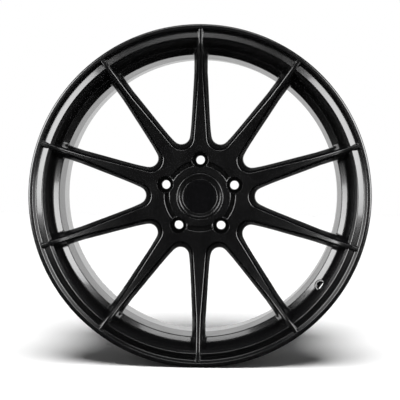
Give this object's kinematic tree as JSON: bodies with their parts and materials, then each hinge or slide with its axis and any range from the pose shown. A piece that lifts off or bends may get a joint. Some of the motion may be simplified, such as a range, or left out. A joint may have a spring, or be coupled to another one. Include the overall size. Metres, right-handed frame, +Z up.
{
  "type": "forged racing wheel rim",
  "caption": "Satin black forged wheel rim with straight radial spokes, deep concave face, stepped outer lip, inner barrel and a pull-out centre cap.",
  "frame": {"origin": "middle of the rim on the wheel axis, half way between the two flange faces", "axes": "+Y along the wheel axis towards the car, so the outboard face looks along -Y; +Z up through a wheel bolt hole and a spoke; +X to the right as seen from the front"},
  "size_m": [0.522, 0.2408, 0.521],
  "materials": {
    "satin_black_paint": "satin black paint over forged aluminium",
    "zinc_plated_steel": "zinc plated",
    "seal_rubber": "matte",
    "black_plastic": "satin",
    "gloss_black_plastic": "gloss",
    "spring_steel": "bright wire"
  },
  "bodies": {
    "wheel": {"face_forging": "satin_black_paint", "inner_barrel": "satin_black_paint", "joint_seal_ring": "seal_rubber", "assembly_bolt_01": "zinc_plated_steel", "assembly_bolt_02": "zinc_plated_steel", "assembly_bolt_03": "zinc_plated_steel", "assembly_bolt_04": "zinc_plated_steel", "assembly_bolt_05": "zinc_plated_steel", "assembly_bolt_06": "zinc_plated_steel", "assembly_bolt_07": "zinc_plated_steel", "assembly_bolt_08": "zinc_plated_steel", "assembly_bolt_09": "zinc_plated_steel", "assembly_bolt_10": "zinc_plated_steel", "bolt_washer_01": "zinc_plated_steel", "bolt_washer_02": "zinc_plated_steel", "bolt_washer_03": "zinc_plated_steel", "bolt_washer_04": "zinc_plated_steel", "bolt_washer_05": "zinc_plated_steel", "bolt_washer_06": "zinc_plated_steel", "bolt_washer_07": "zinc_plated_steel", "bolt_washer_08": "zinc_plated_steel", "bolt_washer_09": "zinc_plated_steel", "bolt_washer_10": "zinc_plated_steel"},
    "centre_cap": {"cap_shell": "black_plastic", "cap_face_disc": "gloss_black_plastic", "cap_spring_ring": "spring_steel"}
  },
  "joints": [
    {"name": "cap_pull", "type": "slide", "parent": "wheel", "child": "centre_cap", "axis": [0, -1, 0], "range_m": [0, 0.03]}
  ]
}
